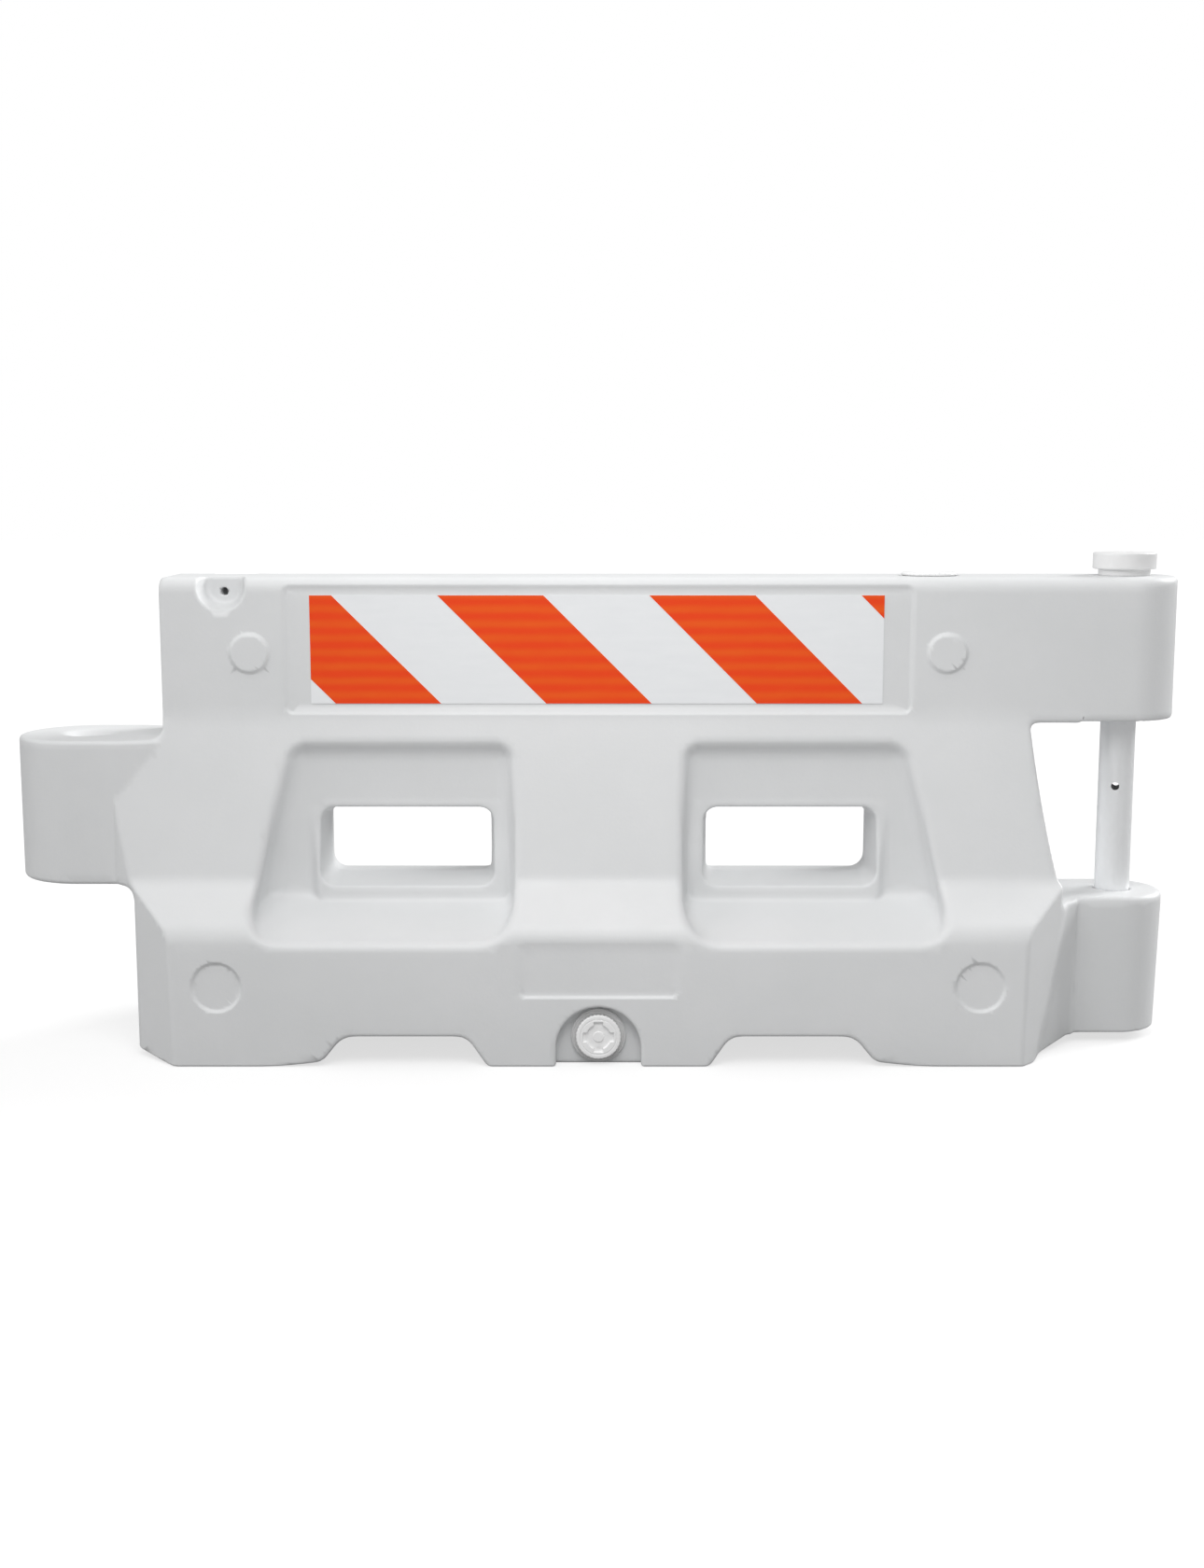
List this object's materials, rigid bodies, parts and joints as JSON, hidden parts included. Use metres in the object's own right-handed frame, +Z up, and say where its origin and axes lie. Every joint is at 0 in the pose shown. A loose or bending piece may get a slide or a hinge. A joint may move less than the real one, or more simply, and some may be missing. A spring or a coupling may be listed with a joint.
{
  "type": "water-fillable plastic barricade",
  "caption": "Hollow water-fillable plastic barricade with forklift slots, striped reflective sheeting, end knuckles, lift-out coupling pin, drain plug and fill cap.",
  "frame": {"origin": "centre of the bounding box in plan, at ground level", "axes": "+X along the length towards the two-eared knuckle and its pin, +Z up, -Y the face with the drain plug"},
  "size_m": [2.0128, 0.4558, 0.853],
  "materials": {
    "shell_plastic": "rotationally moulded natural white polyethylene, satin",
    "insert_plastic": "injection moulded polyethylene insert",
    "plug_plastic": "white injection moulded plastic",
    "gasket_rubber": "black flat gasket",
    "galvanised_steel": "hot-dip galvanised steel pipe",
    "pin_head_plastic": "white moulded plastic",
    "sheeting_white": "white reflective sheeting",
    "sheeting_orange": "orange reflective sheeting with fine bands"
  },
  "bodies": {
    "barrier": {"barrier_shell": "shell_plastic", "drain_bushing": "insert_plastic", "fill_neck": "insert_plastic", "sheet_front": "sheeting_white", "stripes_front": "sheeting_orange", "sheet_back": "sheeting_white", "stripes_back": "sheeting_orange"},
    "pin": {"pin_tube": "galvanised_steel", "pin_head": "pin_head_plastic"},
    "drain_seal": {"drain_gasket": "gasket_rubber"},
    "drain_plug": {"drain_plug": "plug_plastic"},
    "fill_seal": {"fill_gasket": "gasket_rubber"},
    "fill_cap": {"fill_cap": "plug_plastic"}
  },
  "joints": [
    {"name": "pin_lift", "type": "slide", "parent": "barrier", "child": "pin", "axis": [0, 0, 1], "range_m": [0, 0.8]},
    {"name": "drain_unscrew_travel", "type": "slide", "parent": "barrier", "child": "drain_seal", "axis": [0, -1, 0], "range_m": [0, 0.025]},
    {"name": "drain_unscrew_turn", "type": "hinge", "parent": "drain_seal", "child": "drain_plug", "pos_m": [0.0055, -0.213, 0.05], "axis": [0, -1, 0], "range_deg": [0, 1801]},
    {"name": "fill_unscrew_travel", "type": "slide", "parent": "barrier", "child": "fill_seal", "axis": [0, 0, 1], "range_m": [0, 0.025]},
    {"name": "fill_unscrew_turn", "type": "hinge", "parent": "fill_seal", "child": "fill_cap", "pos_m": [0.5785, 0, 0.813], "axis": [0, 0, 1], "range_deg": [0, 1801]}
  ],
  "couplings": [
    {"joint": "drain_unscrew_turn", "follows": "drain_unscrew_travel", "rad_per_m": 1256.6},
    {"joint": "fill_unscrew_turn", "follows": "fill_unscrew_travel", "rad_per_m": 1256.6}
  ]
}
